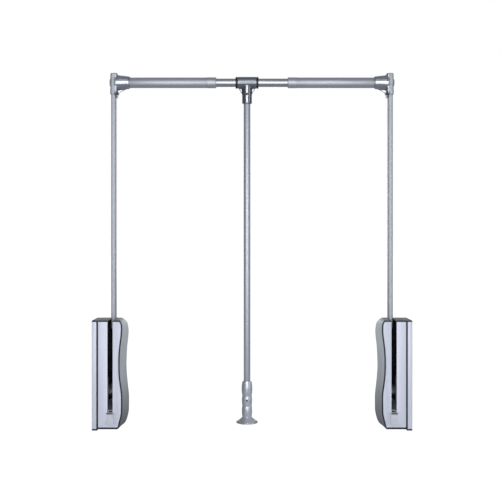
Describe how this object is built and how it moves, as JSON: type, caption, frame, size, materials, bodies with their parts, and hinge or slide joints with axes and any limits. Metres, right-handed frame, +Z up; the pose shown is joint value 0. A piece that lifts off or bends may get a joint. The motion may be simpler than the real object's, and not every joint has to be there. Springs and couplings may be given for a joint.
{
  "type": "pull down closet rod",
  "caption": "Pull-down closet rail on spring-balanced swing arms from side-wall housings, with a telescopic bar and a hanging pull handle.",
  "frame": {"origin": "on the left wall face of the left housing, in line with the pivot of the arms", "axes": "+X from the left wall to the right wall along the pivots, +Y towards the back of the cupboard, +Z up along the folded arms"},
  "size_m": [0.75, 0.09, 0.8463],
  "materials": {
    "silver_paint": "satin silver-lilac paint",
    "grey_shell": "matte moulded grey",
    "dark_steel": "black phosphated",
    "zinc_steel": "zinc plated",
    "damper_paint": "dark grey paint",
    "pale_plastic": "translucent pale nylon",
    "arm_paint": "silver grey satin paint",
    "elbow_metal": "glossy metallic grey",
    "satin_tube": "satin anodised",
    "bush_plastic": "silver grey",
    "chrome_tube": "polished",
    "black_plastic": "black",
    "grip_plastic": "glossy metallic grey"
  },
  "bodies": {
    "left_unit": {"left_wall_base": "grey_shell", "left_base_trim": "silver_paint", "left_base_screw": "zinc_steel", "left_cover": "grey_shell", "left_cover_screw": "zinc_steel", "left_fascia": "silver_paint", "left_chassis": "dark_steel", "left_pivot_pin": "zinc_steel", "left_pivot_clip": "zinc_steel", "left_return_spring": "dark_steel", "left_damper_body": "damper_paint", "left_stop_bracket": "zinc_steel", "left_buffer": "pale_plastic"},
    "left_arm": {"left_arm_hub": "dark_steel", "left_hub_pin": "zinc_steel", "left_arm_tube": "arm_paint", "left_elbow": "elbow_metal", "left_elbow_bolt": "zinc_steel", "left_sleeve_plug": "black_plastic", "left_bar_sleeve": "satin_tube", "left_sleeve_bush": "bush_plastic"},
    "left_rack": {"left_spring_rack": "zinc_steel", "left_spring_rod": "zinc_steel", "left_spring_cup": "dark_steel", "left_damper_rack": "zinc_steel"},
    "right_unit": {"right_wall_base": "grey_shell", "right_base_trim": "silver_paint", "right_base_screw": "zinc_steel", "right_cover": "grey_shell", "right_cover_screw": "zinc_steel", "right_fascia": "silver_paint", "right_chassis": "dark_steel", "right_pivot_pin": "zinc_steel", "right_pivot_clip": "zinc_steel", "right_return_spring": "dark_steel", "right_damper_body": "damper_paint", "right_stop_bracket": "zinc_steel", "right_buffer": "pale_plastic"},
    "right_arm": {"right_arm_hub": "dark_steel", "right_hub_pin": "zinc_steel", "right_arm_tube": "arm_paint", "right_elbow": "elbow_metal", "right_elbow_bolt": "zinc_steel", "right_sleeve_plug": "black_plastic", "right_bar_sleeve": "satin_tube", "right_sleeve_bush": "bush_plastic"},
    "right_rack": {"right_spring_rack": "zinc_steel", "right_spring_rod": "zinc_steel", "right_spring_cup": "dark_steel", "right_damper_rack": "zinc_steel"},
    "centre_tube": {"bar_tube": "chrome_tube"},
    "tee_bushes": {"tee_bush_left": "black_plastic", "tee_bush_right": "black_plastic"},
    "handle": {"tee": "elbow_metal", "tee_screw": "dark_steel", "handle_tube": "arm_paint", "grip": "grip_plastic", "grip_screw": "dark_steel"}
  },
  "joints": [
    {"name": "arm_swing", "type": "hinge", "parent": "left_unit", "child": "left_arm", "pos_m": [0, 0, 0], "axis": [1, 0, 0], "range_deg": [0, 111], "stiffness_Nm_per_rad": 12, "springref_deg": -45.84},
    {"name": "left_rack_travel", "type": "slide", "parent": "left_unit", "child": "left_rack", "axis": [0, 0, -1], "range_m": [0, 0.035], "deforming": ["left_return_spring"]},
    {"name": "left_extend", "type": "slide", "parent": "left_arm", "child": "centre_tube", "axis": [1, 0, 0], "range_m": [-0.025, 0.06]},
    {"name": "tee_slide", "type": "slide", "parent": "centre_tube", "child": "tee_bushes", "axis": [1, 0, 0], "range_m": [-0.02, 0.033]},
    {"name": "handle_swing", "type": "hinge", "parent": "tee_bushes", "child": "handle", "pos_m": [0.363, 0, 0.745], "axis": [1, 0, 0], "continuous": true},
    {"name": "right_extend", "type": "slide", "parent": "centre_tube", "child": "right_arm", "axis": [1, 0, 0], "range_m": [-0.035, 0.06]},
    {"name": "right_unit_level", "type": "hinge", "parent": "right_arm", "child": "right_unit", "pos_m": [0.75, 0, 0], "axis": [1, 0, 0], "range_deg": [-111, 0]},
    {"name": "right_rack_travel", "type": "slide", "parent": "right_unit", "child": "right_rack", "axis": [0, 0, -1], "range_m": [0, 0.035], "deforming": ["right_return_spring"]}
  ],
  "couplings": [
    {"joint": "left_rack_travel", "follows": "arm_swing", "m_per_rad": 0.018},
    {"joint": "right_rack_travel", "follows": "arm_swing", "m_per_rad": 0.018},
    {"joint": "right_unit_level", "follows": "arm_swing", "ratio": -1}
  ]
}
